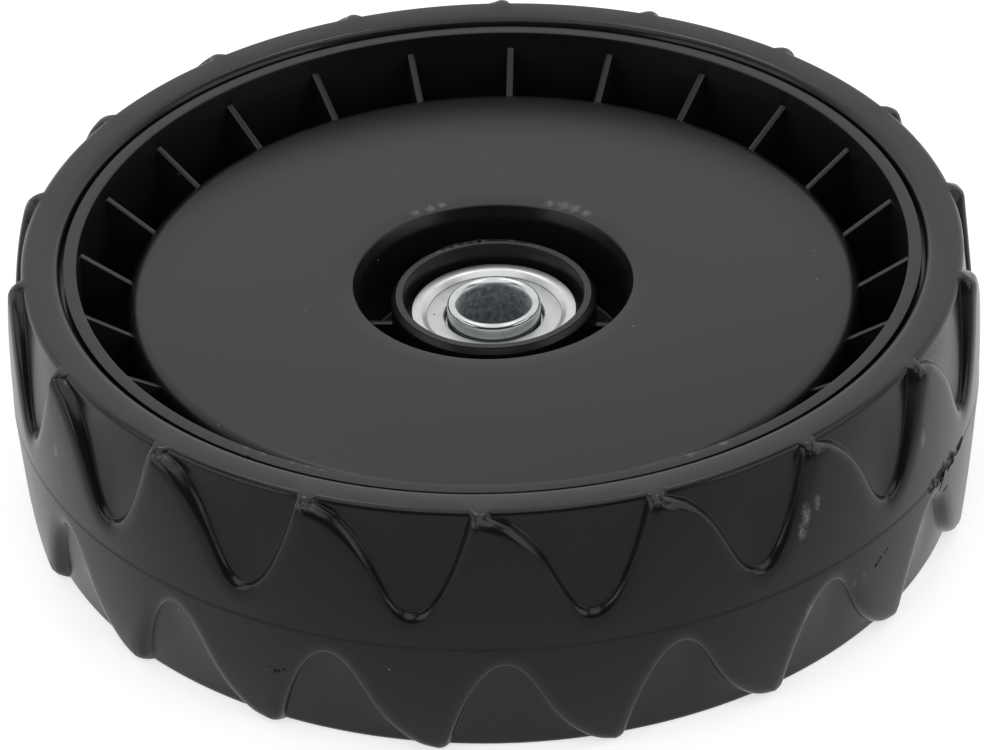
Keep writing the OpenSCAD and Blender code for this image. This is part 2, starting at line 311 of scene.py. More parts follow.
def turned(name, corners, around, arc_steps=5):
    """A turned piece: a circle's vertices are laid on the outline, then spun round the axle."""
    outline = rounded(corners, arc_steps)
    deselect()
    bpy.ops.mesh.primitive_circle_add(vertices=len(outline), radius=MM)
    obj = added(name)
    for vertex, point in zip(obj.data.vertices, outline):
        vertex.co = (point.x, 0, point.y)
    bpy.ops.object.mode_set(mode="EDIT")
    bpy.ops.mesh.select_all(action="SELECT")
    bpy.ops.mesh.spin(steps=around, angle=TAU, center=(0, 0, 0), axis=(0, 0, 1))
    bpy.ops.mesh.select_all(action="SELECT")
    bpy.ops.mesh.remove_doubles(threshold=0.002 * MM)
    bpy.ops.mesh.normals_make_consistent(inside=False)
    bpy.ops.object.mode_set(mode="OBJECT")
    return obj


def polar(degrees, r, z):
    """Point at an angle and radius round the axle, and at a height along it."""
    turn = math.radians(degrees)
    return Vector((r * math.cos(turn), r * math.sin(turn), z))


# Tyre

def arc(points, radius, start, end, steps):
    """Adds a convex or concave arc to a section, from one tilt to another."""
    x, y = points[-1]
    for k in range(1, steps + 1):
        tilt = start + (end - start) * k / steps
        points.append((x + abs(math.sin(tilt) - math.sin(start)) * radius,
                       y + abs(math.cos(start) - math.cos(tilt)) * radius))


def wall_section():
    """Section of a recess's wall: distance towards the lug from its outline, and share of the depth."""
    points = [(0, 0)]
    arc(points, FOOT_ROUND, 0, FLANK_TILT, 3)
    arc(points, EDGE_ROUND, FLANK_TILT, CROWN_TILT, 6)
    run, rise = points[-1]
    crown = CROWN_RUN * math.tan(CROWN_TILT) / 2
    for k in (1, 2):
        points.append((run + CROWN_RUN * k / 2, rise + crown * (1 - (1 - k / 2) ** 2)))
    height = points[-1][1]
    return np.array([(x + FOOT_PLACE, y / height) for x, y in points])


WALL = wall_section()


def leg_points(side, land):
    """Points of one leg of a recess, from its tip to past the shoulder: arc length and height."""
    u = np.linspace(0, 1, 120)
    if side > 0:
        across = STEEP_SPREAD * u
    else:
        across = -SHALLOW_SPREAD * u - SHALLOW_FLARE * u ** FLARE_POWER
    points = np.stack([across, land + (HALF_W - land) * u * u], 1)
    return np.append(points, [(across[-1], OUTLINE_END)], 0)


def recess_outlines(land):
    """The recess's outline and its two neighbours', as one open curve each."""
    outline = np.concatenate([leg_points(-1, land)[::-1], leg_points(1, land)[1:]])
    step = np.array([PITCH * LUG_R, 0])
    return [outline - step, outline, outline + step]


def edge_distance(across, height, land):
    """Distance of each point from the nearest recess outline, positive on the lugs."""
    points = np.stack([across, height], 1)
    distance = np.full(len(points), 1.0)
    for outline in recess_outlines(land):
        start, along = outline[:-1], outline[1:] - outline[:-1]
        offset = points[:, None] - start[None]
        share = np.clip((offset * along).sum(2) / (along ** 2).sum(1), 0, 1)
        gap = np.linalg.norm(offset - share[..., None] * along, axis=2).min(1)
        inside = height > np.interp(across, outline[:, 0], outline[:, 1], left=1, right=1)
        gap = np.where(inside, -gap, gap)
        distance = np.where(np.abs(gap) < np.abs(distance), gap, distance)
    return distance


def lug_share(across, height, land):
    """How far each point stands on a lug: 0 on a recess's floor, 1 on a lug's top."""
    return np.interp(edge_distance(across, height, land), WALL[:, 0], WALL[:, 1])


def wall_heights(across, land):
    """Heights at which each column, going outwards, first comes to each line of the wall's section."""
    scan = np.linspace(land - 4 * MM, OUTLINE_END, SCAN_STEPS)
    lines = WALL[::-1, 0]
    heights = np.empty((len(lines), len(across)))
    for column, place in enumerate(across):
        nearest = np.minimum.accumulate(edge_distance(np.full(SCAN_STEPS, place), scan, land))
        heights[:, column] = np.interp(-lines, -nearest, scan, right=OUTLINE_END)
    return heights


def columns(phase, mirror):
    """Angles of one half's columns, closer together where the lugs' peaks meet the shoulder."""
    turn = PITCH * LUG_R + COLUMN_ZONES[0][0]
    places = np.concatenate([
        np.linspace(start, turn if end is None else end, count, endpoint=False)
        for start, end, count in COLUMN_ZONES])
    angles = np.sort((phase + mirror * places / LUG_R) % PITCH)
    middle = PITCH * (COLUMNS - 1) / COLUMNS / 2
    index = np.arange(COLUMNS + 1) + round((middle - angles.mean()) / PITCH * COLUMNS)
    return angles[index % COLUMNS] + index // COLUMNS * PITCH


def over_shoulder(outer_r, rounding, share):
    """Place at a share of the way from the straight tread over the shoulder to the side face."""
    up = HALF_W - rounding - STRAIGHT_END
    arc = rounding * math.pi / 2
    way = share * (up + arc + outer_r - rounding - SIDE_R)
    if way < up:
        return np.array([outer_r, STRAIGHT_END + way])
    if way < up + arc:
        tilt = (way - up) / rounding
        return np.array([outer_r - rounding * (1 - math.cos(tilt)),
                         HALF_W - rounding * (1 - math.sin(tilt))])
    return np.array([outer_r - rounding - (way - up - arc), HALF_W])


def tread_point(share, laid, land):
    """(r, z) on the tread. The laid height runs up the tread, over the shoulder and in on the side."""
    beyond = (laid - STRAIGHT_END) / SHOULDER_WAY
    if beyond <= 0:
        taper = FLOOR_TAPER * min(max((laid - land) / (STRAIGHT_END - land), 0), 1)
        floor_r = FLOOR_R - taper
        return np.array([floor_r + (LUG_R - floor_r) * share, laid])
    low_point = over_shoulder(FLOOR_R - FLOOR_TAPER, FLOOR_ROUND, beyond)
    lug_point = over_shoulder(LUG_R, LUG_ROUND, beyond)
    return low_point + (lug_point - low_point) * share


def half_tread(phase, land, mirror):
    """Rows of (angle, r, z) from the middle plane out to the side face, for one half of the tread."""
    angles = columns(phase, mirror)
    across = mirror * ((angles - phase + PITCH / 2) % PITCH - PITCH / 2) * LUG_R
    walls = wall_heights(across, land)
    caps = STRAIGHT_END + LUG_ARC * np.arange(1, len(walls) + 1) / len(walls)
    walls = np.minimum(walls, caps[:, None])
    start = mirror * PARTING_Z + PARTING_ROWS[-1][0] * MM
    middle = [start + (walls[0] - start) * k / (MIDDLE_ROWS + 1) for k in range(1, MIDDLE_ROWS + 1)]
    laid_rows = middle + list(walls)
    last = walls[-1]
    end = STRAIGHT_END + SHOULDER_WAY
    for k in range(SHOULDER_ROWS + 1):
        even = STRAIGHT_END + SHOULDER_WAY * k / SHOULDER_ROWS
        squeezed = last + (end - last) * (k + 0.5) / (SHOULDER_ROWS + 0.5)
        laid_rows.append(np.maximum(even, squeezed))
    rows = []
    for laid in laid_rows:
        share = lug_share(across, laid, land)
        points = np.array([tread_point(s, height, land) for s, height in zip(share, laid)])
        rows.append((angles, points[:, 0], points[:, 1]))
    return rows


def barrel(z):
    """How much the crowned tread stands out at a height."""
    fall = np.where(z < BARREL_Z, BARREL_REAR_FALL, BARREL_FALL)
    return BARREL_RISE - fall * (z - BARREL_Z) ** 2


def tyre_rows():
    """The whole section of the tyre, row by row, as (angle, r, z) at each column."""
    even = np.arange(COLUMNS + 1) / COLUMNS * PITCH
    same = np.ones(len(even))
    rows = [(a, r, -z) for a, r, z in reversed(half_tread(REAR_PHASE, REAR_LAND, -1))]
    for step, groove in PARTING_ROWS:
        rows.append((even, same * (LUG_R - groove * MM), same * (PARTING_Z + step * MM)))
    rows += half_tread(FRONT_PHASE, FRONT_LAND, 1)
    rows = [(a, r + barrel(z), z) for a, r, z in rows]
    face = HALF_W - SIDE_DISH
    inner = []
    for k in range(5):
        tilt = math.pi / 2 * k / 4
        inner.append((MOUTH_R + MOUTH_ROUND * (1 - math.sin(tilt)),
                      face - MOUTH_ROUND * (1 - math.cos(tilt))))
    inner += [(MOUTH_R, SEAT_END), (TYRE_SEAT_R, SEAT_END)]
    inner += [(r, -z) for r, z in reversed(inner)]
    return rows + [(even, same * r, same * z) for r, z in inner]


def gouge_cutter():
    """One solid with a ragged lens at each place where the tread is torn or pitted."""
    cutter = None
    for degrees, height, length, width, depth, slant in GOUGES:
        deselect()
        bpy.ops.mesh.primitive_ico_sphere_add(subdivisions=4, radius=1)
        lens = added("gouge")
        for vertex in lens.data.vertices:
            x, y, z = vertex.co
            vertex.co *= 1 + 0.12 * math.sin(6 * y + 3 * z + degrees) + 0.06 * math.sin(13 * z - 5 * y)
        lens.scale = (depth, length, width)
        lens.rotation_euler = (math.radians(slant), 0, math.radians(degrees))
        lens.location = polar(degrees, LUG_R + barrel(height), height)
        settle(lens)
        if cutter:
            combine(cutter, lens, "UNION")
        else:
            cutter = lens
    return cutter


def tyre():
    """One pitch of the tread on a grid, copied round the axle and welded."""
    rows = tyre_rows()
    rows.append(rows[0])
    deselect()
    bpy.ops.mesh.primitive_grid_add(x_subdivisions=COLUMNS, y_subdivisions=len(rows) - 1, size=1)
    obj = added("tyre_moulding")
    co = np.array([(r * np.cos(a), r * np.sin(a), z) for a, r, z in rows]).transpose(0, 2, 1)
    obj.data.vertices.foreach_set("co", co.ravel())
    copies = [obj]
    for k in range(1, LUGS):
        pick(obj)
        bpy.ops.object.duplicate()
        copy = bpy.context.object
        copy.rotation_euler.z = PITCH * k
        copies.append(copy)
    obj = join(copies, "tyre_moulding")
    bpy.ops.object.mode_set(mode="EDIT")
    bpy.ops.mesh.select_all(action="SELECT")
    bpy.ops.mesh.remove_doubles(threshold=0.01 * MM)
    bpy.ops.mesh.normals_make_consistent(inside=False)
    bpy.ops.object.mode_set(mode="OBJECT")
    combine(obj, gouge_cutter(), "DIFFERENCE")
    smooth(obj, 50)
    return obj


# Wheel body

def body_corners():
    """Section of the moulded body, clockwise from the front flange's outer edge."""
    edge = 0.35 * MM
    rear_seat_z = REAR_FACE_Z + BEARING_W
    front_seat_z = FRONT_FACE_Z - BEARING_W
    lip_z = HUB_FRONT_Z - HUB_LIP_FALL
    mouth_z = DISC_TOP_Z - WELL_DIP
    return [
        (RIM_R, HALF_RIM, 0.15 * MM), (RIM_R, FLANGE_Z, 0), (RIM_SEAT_R, FLANGE_Z, 0),
        (RIM_SEAT_R, -FLANGE_Z, 0), (RIM_R, -FLANGE_Z, 0), (RIM_R, -HALF_RIM, 0.15 * MM),
        (RIM_IN_R, -HALF_RIM, 0.35 * MM), (RIM_IN_R, -POCKET_HALF, 0.6 * MM), (DISC_R, -POCKET_HALF, 0.6 * MM),
        (DISC_R, -DISC_Z, edge), (SKIRT_IN_R, -DISC_Z, edge),
        (SKIRT_IN_R, DISC_Z - DISC_T, 1 * MM), (WELL_OUT_R, DISC_Z - DISC_T, UNDER_ROUND),
        (WELL_OUT_R, WELL_FLOOR_Z - DISC_T, edge), (HUB_R, WELL_FLOOR_Z - DISC_T, 0.6 * MM),
        (HUB_R, HUB_REAR_Z, 0.6 * MM), (MOUTH_HUB_R, HUB_REAR_Z, edge),
        (MOUTH_HUB_R, HUB_REAR_Z + MOUTH_DEPTH, 0), (SEAT_R, HUB_REAR_Z + MOUTH_DEPTH, 0.2 * MM),
        (SEAT_R, rear_seat_z, 0), (HUB_BORE_R, rear_seat_z, edge),
        (HUB_BORE_R, front_seat_z, edge), (SEAT_R, front_seat_z, 0),
        (SEAT_R, FRONT_SHELF_Z, 0.2 * MM), (MOUTH_HUB_R, FRONT_SHELF_Z, 0),
        (MOUTH_HUB_R, HUB_FRONT_Z, MOUTH_LEAD), (MOUTH_HUB_R + HUB_LIP_W, lip_z, 0.12 * MM),
        (HUB_R, lip_z - HUB_BEVEL_FALL, 0.3 * MM), (HUB_R, WELL_FLOOR_Z, 0.8 * MM),
        (WELL_R, WELL_FLOOR_Z, 0.8 * MM), (WELL_R, mouth_z - WELL_MOUTH_DEPTH, 3 * MM),
        (WELL_MOUTH_R, mouth_z, WELL_EDGE),
        (WELL_DIP_R, DISC_TOP_Z, 15 * MM), (DISC_R, DISC_TOP_Z, DISC_ROUND),
        (DISC_R, POCKET_HALF, 0.6 * MM), (RIM_IN_R, POCKET_HALF, 0.6 * MM),
        (RIM_IN_R, HALF_RIM, 0.35 * MM),
    ]


def rib(corners, thickness, angle):
    """A flat rib in a radial plane: a circle's vertices on its outline, filled and extruded."""
    deselect()
    bpy.ops.mesh.primitive_circle_add(vertices=len(corners), radius=MM, fill_type="NGON")
    obj = added("rib")
    for vertex, (r, z) in zip(obj.data.vertices, corners):
        vertex.co = (r, -thickness / 2, z)
    bpy.ops.object.mode_set(mode="EDIT")
    bpy.ops.mesh.select_all(action="SELECT")
    bpy.ops.mesh.extrude_region_move(TRANSFORM_OT_translate={"value": (0, thickness, 0)})
    bpy.ops.mesh.select_all(action="SELECT")
    bpy.ops.mesh.normals_make_consistent(inside=False)
    bpy.ops.object.mode_set(mode="OBJECT")
    bevel = obj.modifiers.new("edge", "BEVEL")
    bevel.width = RIB_BEVEL
    bevel.segments = 2
    apply_modifiers(obj)
    obj.rotation_euler.z = angle
    return obj


def ribs():
    """All the body's ribs, each reaching a little into the walls that it joins."""
    bite = 1 * MM
    rim = [(DISC_R - bite, RIM_RIB_IN_Z), (RIM_IN_R + bite, RIM_RIB_OUT_Z + 0.4 * MM),
           (RIM_IN_R + bite, -RIM_RIB_OUT_Z - 0.4 * MM), (DISC_R - bite, -RIM_RIB_IN_Z)]
    well = [(HUB_R - bite, WELL_RIB_Z), (WELL_R + bite, WELL_RIB_Z),
            (WELL_R + bite, WELL_FLOOR_Z - bite), (HUB_R - bite, WELL_FLOOR_Z - bite)]
    top = DISC_Z - DISC_T + bite
    back = [(WELL_OUT_R + UNDER_ROUND, top), (SKIRT_IN_R + bite, top),
            (SKIRT_IN_R + bite, BACK_RIB_LOW_Z), (HUB_R - bite, BACK_RIB_LOW_Z),
            (HUB_R - bite, WELL_FLOOR_Z - bite), (WELL_OUT_R - bite, WELL_FLOOR_Z - bite),
            (WELL_OUT_R - bite, top - UNDER_ROUND)]
    made = []
    for i in range(RIM_RIBS):
        made.append(rib(rim, RIM_RIB_T, RIM_RIB_PHASE + TAU * i / RIM_RIBS))
    for i in range(WELL_RIBS):
        made.append(rib(well, WELL_RIB_T, WELL_RIB_PHASE + TAU * i / WELL_RIBS))
    for i in range(BACK_RIBS):
        made.append(rib(back, BACK_RIB_T, TAU * (i + 0.5) / BACK_RIBS))
    for obj in made:
        settle(obj)
    return join(made, "ribs")


def hub_flash():
    """A ragged fin of flash on the far side of the hub's lip, with two longer whiskers."""
    deselect()
    bpy.ops.mesh.primitive_grid_add(x_subdivisions=FLASH_STEPS, y_subdivisions=1, size=1)
    obj = added("flash")
    for i, vertex in enumerate(obj.data.vertices):
        share = i % (FLASH_STEPS + 1) / FLASH_STEPS
        degrees = FLASH_START + (FLASH_END - FLASH_START) * share
        ragged = 0.5 + 0.3 * math.sin(degrees * 2.3) + 0.2 * math.sin(degrees * 7.1)
        height = FLASH_HEIGHT * ragged * (0.35 + 0.65 * (degrees > FLASH_RAGGED_FROM))
        for whisker in WHISKERS:
            height += WHISKER_HEIGHT * max(0, 1 - abs(degrees - whisker) / 0.8)
        top = i > FLASH_STEPS
        vertex.co = polar(degrees, FLASH_R, HUB_FRONT_Z + (height if top else -0.4 * MM))
    bpy.ops.object.mode_set(mode="EDIT")
    bpy.ops.mesh.select_all(action="SELECT")
    bpy.ops.mesh.normals_make_consistent(inside=False)
    bpy.ops.object.mode_set(mode="OBJECT")
    solid = obj.modifiers.new("thickness", "SOLIDIFY")
    solid.thickness = 0.12 * MM
    apply_modifiers(obj)
    return obj


def rim_nib():
    """A bead of flash that bridges the gap between the rim's flange and the tyre."""
    deselect()
    bpy.ops.mesh.primitive_ico_sphere_add(subdivisions=3, radius=0.55 * MM)
    obj = added("nib")
    obj.scale = (1.1, 1.7, 0.7)
    obj.rotation_euler.z = math.radians(NIB_DEGREES)
    obj.location = polar(NIB_DEGREES, RIM_R + 0.35 * MM, HALF_RIM + 0.5 * MM)
    settle(obj)
    return obj


def wheel_body():
    obj = turned("body_moulding", body_corners(), 240)
    combine(obj, ribs(), "UNION")
    obj = join([obj, hub_flash(), rim_nib()], "body_moulding")
    smooth(obj, 32)
    return obj


# Bearings, drawn with the outer race's front face at height 0

def outer_race_corners():
    inner = BEARING_R - ROLL_W
    groove = []
    for k in range(-3, 4):
        tilt = math.radians(22 * k)
        r = GROOVE_R + GROOVE_ROUND * math.cos(tilt)
        if r > RACE_IN_R:
            groove.append((r, GROOVE_ROUND * math.sin(tilt) - BEARING_W / 2, 0))
    return [
        (BEARING_R, -BEARING_W, 0.8 * MM), (10.8 * MM, -BEARING_W, 0.3 * MM),
        (10.8 * MM, 1.1 * MM - BEARING_W, 0.3 * MM), (RACE_IN_R, 1.1 * MM - BEARING_W, 0.5 * MM),
    ] + groove + [
        (RACE_IN_R, SHIELD_LOW_Z, 0), (SHIELD_R + 0.05 * MM, SHIELD_LOW_Z, 0),
        (SHIELD_R + 0.05 * MM, SHIELD_Z, 0), (inner, SHIELD_Z, 0.08 * MM),
        (inner, ROLL_LOW_Z, 0.12 * MM), (inner + ROLL_SLOPE_W, ROLL_CREST_Z, 2 * MM),
        (BEARING_R, ROLL_HIGH_Z, 0.15 * MM),
    ]


def shield_corners():
    low, high = SHIELD_LOW_Z + 0.02 * MM, SHIELD_Z - 0.02 * MM
    return [(10.6 * MM, low, 0.2 * MM), (SHIELD_R, low, 0.1 * MM),
            (SHIELD_R, high, 0.1 * MM), (10.6 * MM, high, 0.3 * MM)]


def sleeve_corners():
    top = 2.3 * MM
    low = -BEARING_W - 1.5 * MM
    return [
        (7.5 * MM, top, 1.45 * MM), (9.9 * MM, top, 0.85 * MM), (9.9 * MM, -2.62 * MM, 0.1 * MM),
        (11.3 * MM, -2.62 * MM, 0.2 * MM), (11.3 * MM, -4 * MM, 0), (10.6 * MM, -4.8 * MM, 0),
        (10.37 * MM, -5.5 * MM, 0), (10.6 * MM, -6.2 * MM, 0), (11.3 * MM, -7 * MM, 0),
        (11.3 * MM, -8.38 * MM, 0.2 * MM), (9.9 * MM, -8.38 * MM, 0.1 * MM),
        (9.9 * MM, low, 0.7 * MM), (7.5 * MM, low, 0.7 * MM),
    ]


def in_hub(obj, end):
    """Moves a bearing piece to the hub's front end, or turns it over into the rear end."""
    if end == "front":
        obj.location.z = FRONT_FACE_Z
    else:
        obj.rotation_euler.x = math.pi
        obj.location.z = REAR_FACE_Z
    settle(obj)
    return obj


# Materials

def srgb(code):
    """Linear colour of an sRGB hex value."""
    channels = [int(code[i:i + 2], 16) / 255 for i in (1, 3, 5)]
    linear = [c / 12.92 if c <= 0.04045 else ((c + 0.055) / 1.055) ** 2.4 for c in channels]
    return (*linear, 1)


def add(tree, kind, settings=None, **links):
    """Adds a node, sets what settings names on it, and links or sets its inputs by name."""
    node = tree.nodes.new("ShaderNode" + kind)
    for key, value in (settings or {}).items():
        setattr(node, key, value)
    for key, value in links.items():
        name = key.replace("_", " ")
        socket = node.inputs[int(name[1:])] if name[0] == "i" and name[1:].isdigit() else node.inputs[name]
        if isinstance(value, bpy.types.NodeSocket):
            tree.links.new(value, socket)
        else:
            socket.default_value = value
    return node


def new_material(name):
    material = bpy.data.materials.new(name)
    material.use_nodes = True
    tree = material.node_tree
    return material, tree, tree.nodes["Principled BSDF"]


def spot(tree, place, centre, reach):
    """1 at a point of the piece, fading to 0 at its reach."""
    away = add(tree, "VectorMath", {"operation": "DISTANCE"}, i0=place, i1=tuple(centre))
    return add(tree, "MapRange", Value=away.outputs["Value"], From_Min=0.0, From_Max=reach,
               To_Min=1.0, To_Max=0.0).outputs["Result"]


def math_node(tree, operation, first, second):
    return add(tree, "Math", {"operation": operation}, i0=first, i1=second).outputs["Value"]


def scuffs_and_glints(tree, place, stretch, spots):
    """Hair-thin pale lines inside the given spots (scuffs on the tread, scuffs and painted glints on the
    body), and sparse pale specks everywhere.
    """
    laid = add(tree, "VectorMath", {"operation": "MULTIPLY"}, i0=place, i1=stretch).outputs["Vector"]
    reach = 0.0
    for centre, size in spots:
        centre = [value * scale for value, scale in zip(centre, stretch)]
        reach = math_node(tree, "MAXIMUM", reach, spot(tree, laid, centre, size))
    lines = add(tree, "TexNoise", Vector=place, Scale=1 / (0.5 * MM), Detail=4.0, Distortion=2.5)
    crest = math_node(tree, "ABSOLUTE", math_node(tree, "SUBTRACT", lines.outputs["Fac"], 0.5), 0.0)
    hair = add(tree, "MapRange", Value=crest, From_Min=0.01, From_Max=0.05, To_Min=1.0, To_Max=0.0)
    patch = add(tree, "TexNoise", Vector=place, Scale=1 / (0.8 * MM), Detail=3.0)
    dense = add(tree, "MapRange", Value=math_node(tree, "ADD", reach, patch.outputs["Fac"]),
                From_Min=0.74, From_Max=1.25, To_Min=0.0, To_Max=1.0)
    torn = math_node(tree, "MULTIPLY", hair.outputs["Result"], dense.outputs["Result"])
    grains = add(tree, "TexVoronoi", Vector=place, Scale=1 / (9 * MM))
    speck = add(tree, "MapRange", Value=grains.outputs["Distance"], From_Min=0.016, From_Max=0.03,
                To_Min=0.55, To_Max=0.0)
    return math_node(tree, "MAXIMUM", torn, speck.outputs["Result"])


def black_moulding(name, low, high, cloud_size, grain_size, roughness, ior, wear_and_glints,
                   stippled=None, pitted=None):
    """A black moulded plastic: cloudy tone, fine grain, and pale where the given marks, scuffs and painted
    glints, are 1.
    The grain is coarse and deep where stippled is 1, and the surface is dull where pitted is 1."""
    material, tree, shader = new_material(name)
    place = add(tree, "TexCoord").outputs["Object"]
    cloud = add(tree, "TexNoise", Vector=place, Scale=1 / cloud_size, Detail=3.0)
    tone = add(tree, "ValToRGB", Fac=cloud.outputs["Fac"])
    tone.color_ramp.elements[0].color = srgb(low)
    tone.color_ramp.elements[1].color = srgb(high)
    wear_and_glint_mask = wear_and_glints(tree, place)
    # Pale marks mixed into the colour: scuffs, and painted glints and highlights
    colour = add(tree, "MixRGB", Fac=wear_and_glint_mask, Color1=tone.outputs["Color"], Color2=srgb("#8f8f8c"))
    grain = add(tree, "TexNoise", Vector=place, Scale=1 / grain_size, Detail=2.0).outputs["Fac"]
    if stippled:
        coarse = add(tree, "TexNoise", Vector=place, Scale=1 / (0.45 * MM), Detail=2.0).outputs["Fac"]
        depth = math_node(tree, "MULTIPLY", stippled(tree, place), 26.0)
        grain = math_node(tree, "ADD", grain, math_node(tree, "MULTIPLY", coarse, depth))
    bump = add(tree, "Bump", Strength=0.2, Distance=0.05 * MM, Height=grain)
    tree.links.new(colour.outputs["Color"], shader.inputs["Base Color"])
    tree.links.new(bump.outputs["Normal"], shader.inputs["Normal"])
    shader.inputs["Roughness"].default_value = roughness
    if pitted:
        dull = add(tree, "MapRange", Value=pitted(tree, place), To_Min=roughness, To_Max=1.0)
        tree.links.new(dull.outputs["Result"], shader.inputs["Roughness"])
    shader.inputs["IOR"].default_value = ior
    return material


def body_scuffs_and_glints(tree, place):
    """Painted glints along the rim's flange and painted highlights on the well's lip, with scuffs on the hub's
    lip.
    """
    return scuffs_and_glints(tree, place, (1, 1, 1), [
        (polar(degrees, r * MM, z * MM), reach * MM) for degrees, r, z, reach in BODY_SCUFFS_AND_GLINTS])


def hub_lip(tree, place):
    """1 on the hub's front lip, where the mould's texture is coarse."""
    flat = add(tree, "VectorMath", {"operation": "MULTIPLY"}, i0=place, i1=(1, 1, 0))
    radius = add(tree, "VectorMath", {"operation": "LENGTH"}, i0=flat.outputs["Vector"]).outputs["Value"]
    height = add(tree, "SeparateXYZ", Vector=place).outputs["Z"]
    aside = math_node(tree, "SUBTRACT", radius, MOUTH_HUB_R + HUB_LIP_W / 2)
    above = math_node(tree, "SUBTRACT", height, HUB_FRONT_Z)
    away = add(tree, "VectorMath", {"operation": "LENGTH"},
               i0=add(tree, "CombineXYZ", X=aside, Y=above).outputs["Vector"])
    return add(tree, "MapRange", Value=away.outputs["Value"], From_Min=0.75 * MM, From_Max=0.95 * MM,
               To_Min=1.0, To_Max=0.0).outputs["Result"]


def moulded_polypropylene():
    """Black polypropylene, satin from a lightly sparked mould: soft wide highlights, faint flow marks."""
    return black_moulding("moulded_polypropylene", "#0f0f10", "#131314", 28 * MM, 0.45 * MM,
                          0.31, 1.45, body_scuffs_and_glints, hub_lip)


def tyre_scuffs_and_glints(tree, place):
    """Scuffs on the tread, and pale patches painted as glints on the peaks where the lugs meet the shoulders.
    """
    marks = scuffs_and_glints(tree, place, TREAD_STRETCH, [
        (polar(degrees, LUG_R, z * MM), reach * MM) for degrees, z, reach in TREAD_SCUFFS])
    # Painted glints: pale patches on the lugs' peaks next to the shoulders
    flat = add(tree, "VectorMath", {"operation": "MULTIPLY"}, i0=place, i1=(1, 1, 0))
    radius = add(tree, "VectorMath", {"operation": "LENGTH"}, i0=flat.outputs["Vector"])
    out = add(tree, "MapRange", Value=radius.outputs["Value"], From_Min=LUG_R - 2.8 * MM,
              From_Max=LUG_R - 1.6 * MM)
    height = add(tree, "SeparateXYZ", Vector=place)
    high = add(tree, "MapRange", Value=math_node(tree, "ABSOLUTE", height.outputs["Z"], 0.0),
               From_Min=HALF_W - 2 * MM, From_Max=HALF_W - 1 * MM)
    peak = math_node(tree, "MULTIPLY", out.outputs["Result"], high.outputs["Result"])
    patch = add(tree, "TexNoise", Vector=place, Scale=1 / (0.6 * MM), Detail=2.0)
    patch = add(tree, "MapRange", Value=patch.outputs["Fac"], From_Min=0.5, From_Max=0.75,
                To_Min=0.02, To_Max=0.4)
    return math_node(tree, "MAXIMUM", marks, math_node(tree, "MULTIPLY", peak, patch.outputs["Result"]))


def tyre_pits(tree, place):
    """1 in the small ragged pits of the tread."""
    ragged = add(tree, "TexNoise", Vector=place, Scale=1 / (0.4 * MM), Detail=3.0).outputs["Fac"]
    reach = 0.0
    for degrees, z, size in TREAD_PITS:
        pit = polar(degrees, LUG_R + barrel(z * MM), z * MM)
        reach = math_node(tree, "MAXIMUM", reach, spot(tree, place, pit, size * MM))
    edge = math_node(tree, "MULTIPLY", reach, ragged)
    return add(tree, "MapRange", Value=edge, From_Min=0.14, From_Max=0.22).outputs["Result"]


def moulded_tyre():
    """Black thermoplastic rubber, moulded: a little glossier than the body, with scuffed lugs and painted
    glints on their peaks.
    """
    return black_moulding("moulded_thermoplastic_rubber", "#0f0f10", "#141415", 35 * MM, 0.6 * MM,
                          0.22, 1.46, tyre_scuffs_and_glints, pitted=tyre_pits)


def zinc_plate(name, hex_low, hex_high, roughness, pit=None):
    """Bright zinc plating on pressed steel: pale, slightly cloudy, fine grain, one dark pit if placed."""
    material, tree, shader = new_material(name)
    place = add(tree, "TexCoord").outputs["Object"]
    cloud = add(tree, "TexNoise", Vector=place, Scale=1 / (2.5 * MM), Detail=4.0)
    tone = add(tree, "ValToRGB", Fac=cloud.outputs["Fac"])
    tone.color_ramp.elements[0].color = srgb(hex_low)
    tone.color_ramp.elements[1].color = srgb(hex_high)
    colour = tone.outputs["Color"]
    if pit:
        mark = math_node(tree, "GREATER_THAN", spot(tree, place, pit, 0.3 * MM), 0.3)
        colour = add(tree, "MixRGB", Fac=mark, Color1=colour, Color2=srgb("#2c2c2c")).outputs["Color"]
    tree.links.new(colour, shader.inputs["Base Color"])
    grain = add(tree, "TexNoise", Vector=place, Scale=1 / (0.3 * MM), Detail=3.0)
    bump = add(tree, "Bump", Strength=0.15, Distance=0.03 * MM, Height=grain.outputs["Fac"])
    tree.links.new(bump.outputs["Normal"], shader.inputs["Normal"])
    shader.inputs["Metallic"].default_value = 1
    shader.inputs["Roughness"].default_value = roughness
    return material


def turned_sleeve():
    """Zinc plated turned steel with a drawn bore: bright outside, dull bluish grey inside."""
    material = zinc_plate("zinc_plated_turning", "#bcc0c1", "#dcdfdf", 0.2)
    tree = material.node_tree
    shader = tree.nodes["Principled BSDF"]
    place = add(tree, "TexCoord").outputs["Object"]
    flat = add(tree, "VectorMath", {"operation": "MULTIPLY"}, i0=place, i1=(1, 1, 0))
    radius = add(tree, "VectorMath", {"operation": "LENGTH"}, i0=flat.outputs["Vector"])
    bore = add(tree, "MapRange", Value=radius.outputs["Value"], From_Min=7.9 * MM,
               From_Max=7.55 * MM, To_Min=0.0, To_Max=1.0).outputs["Result"]
    plated = shader.inputs["Base Color"].links[0].from_socket
    blotch = add(tree, "TexNoise", Vector=place, Scale=1 / (1.1 * MM), Detail=3.0)
    drawn = add(tree, "ValToRGB", Fac=blotch.outputs["Fac"])
    drawn.color_ramp.elements[0].position = 0.35
    drawn.color_ramp.elements[0].color = srgb("#90979a")
    drawn.color_ramp.elements[1].position = 0.65
    drawn.color_ramp.elements[1].color = srgb("#c3c9cb")
    colour = add(tree, "MixRGB", Fac=bore, Color1=plated, Color2=drawn.outputs["Color"])
    tree.links.new(colour.outputs["Color"], shader.inputs["Base Color"])
    dull = add(tree, "MapRange", Value=bore, To_Min=0.2, To_Max=0.75)
    tree.links.new(dull.outputs["Result"], shader.inputs["Roughness"])
    return material


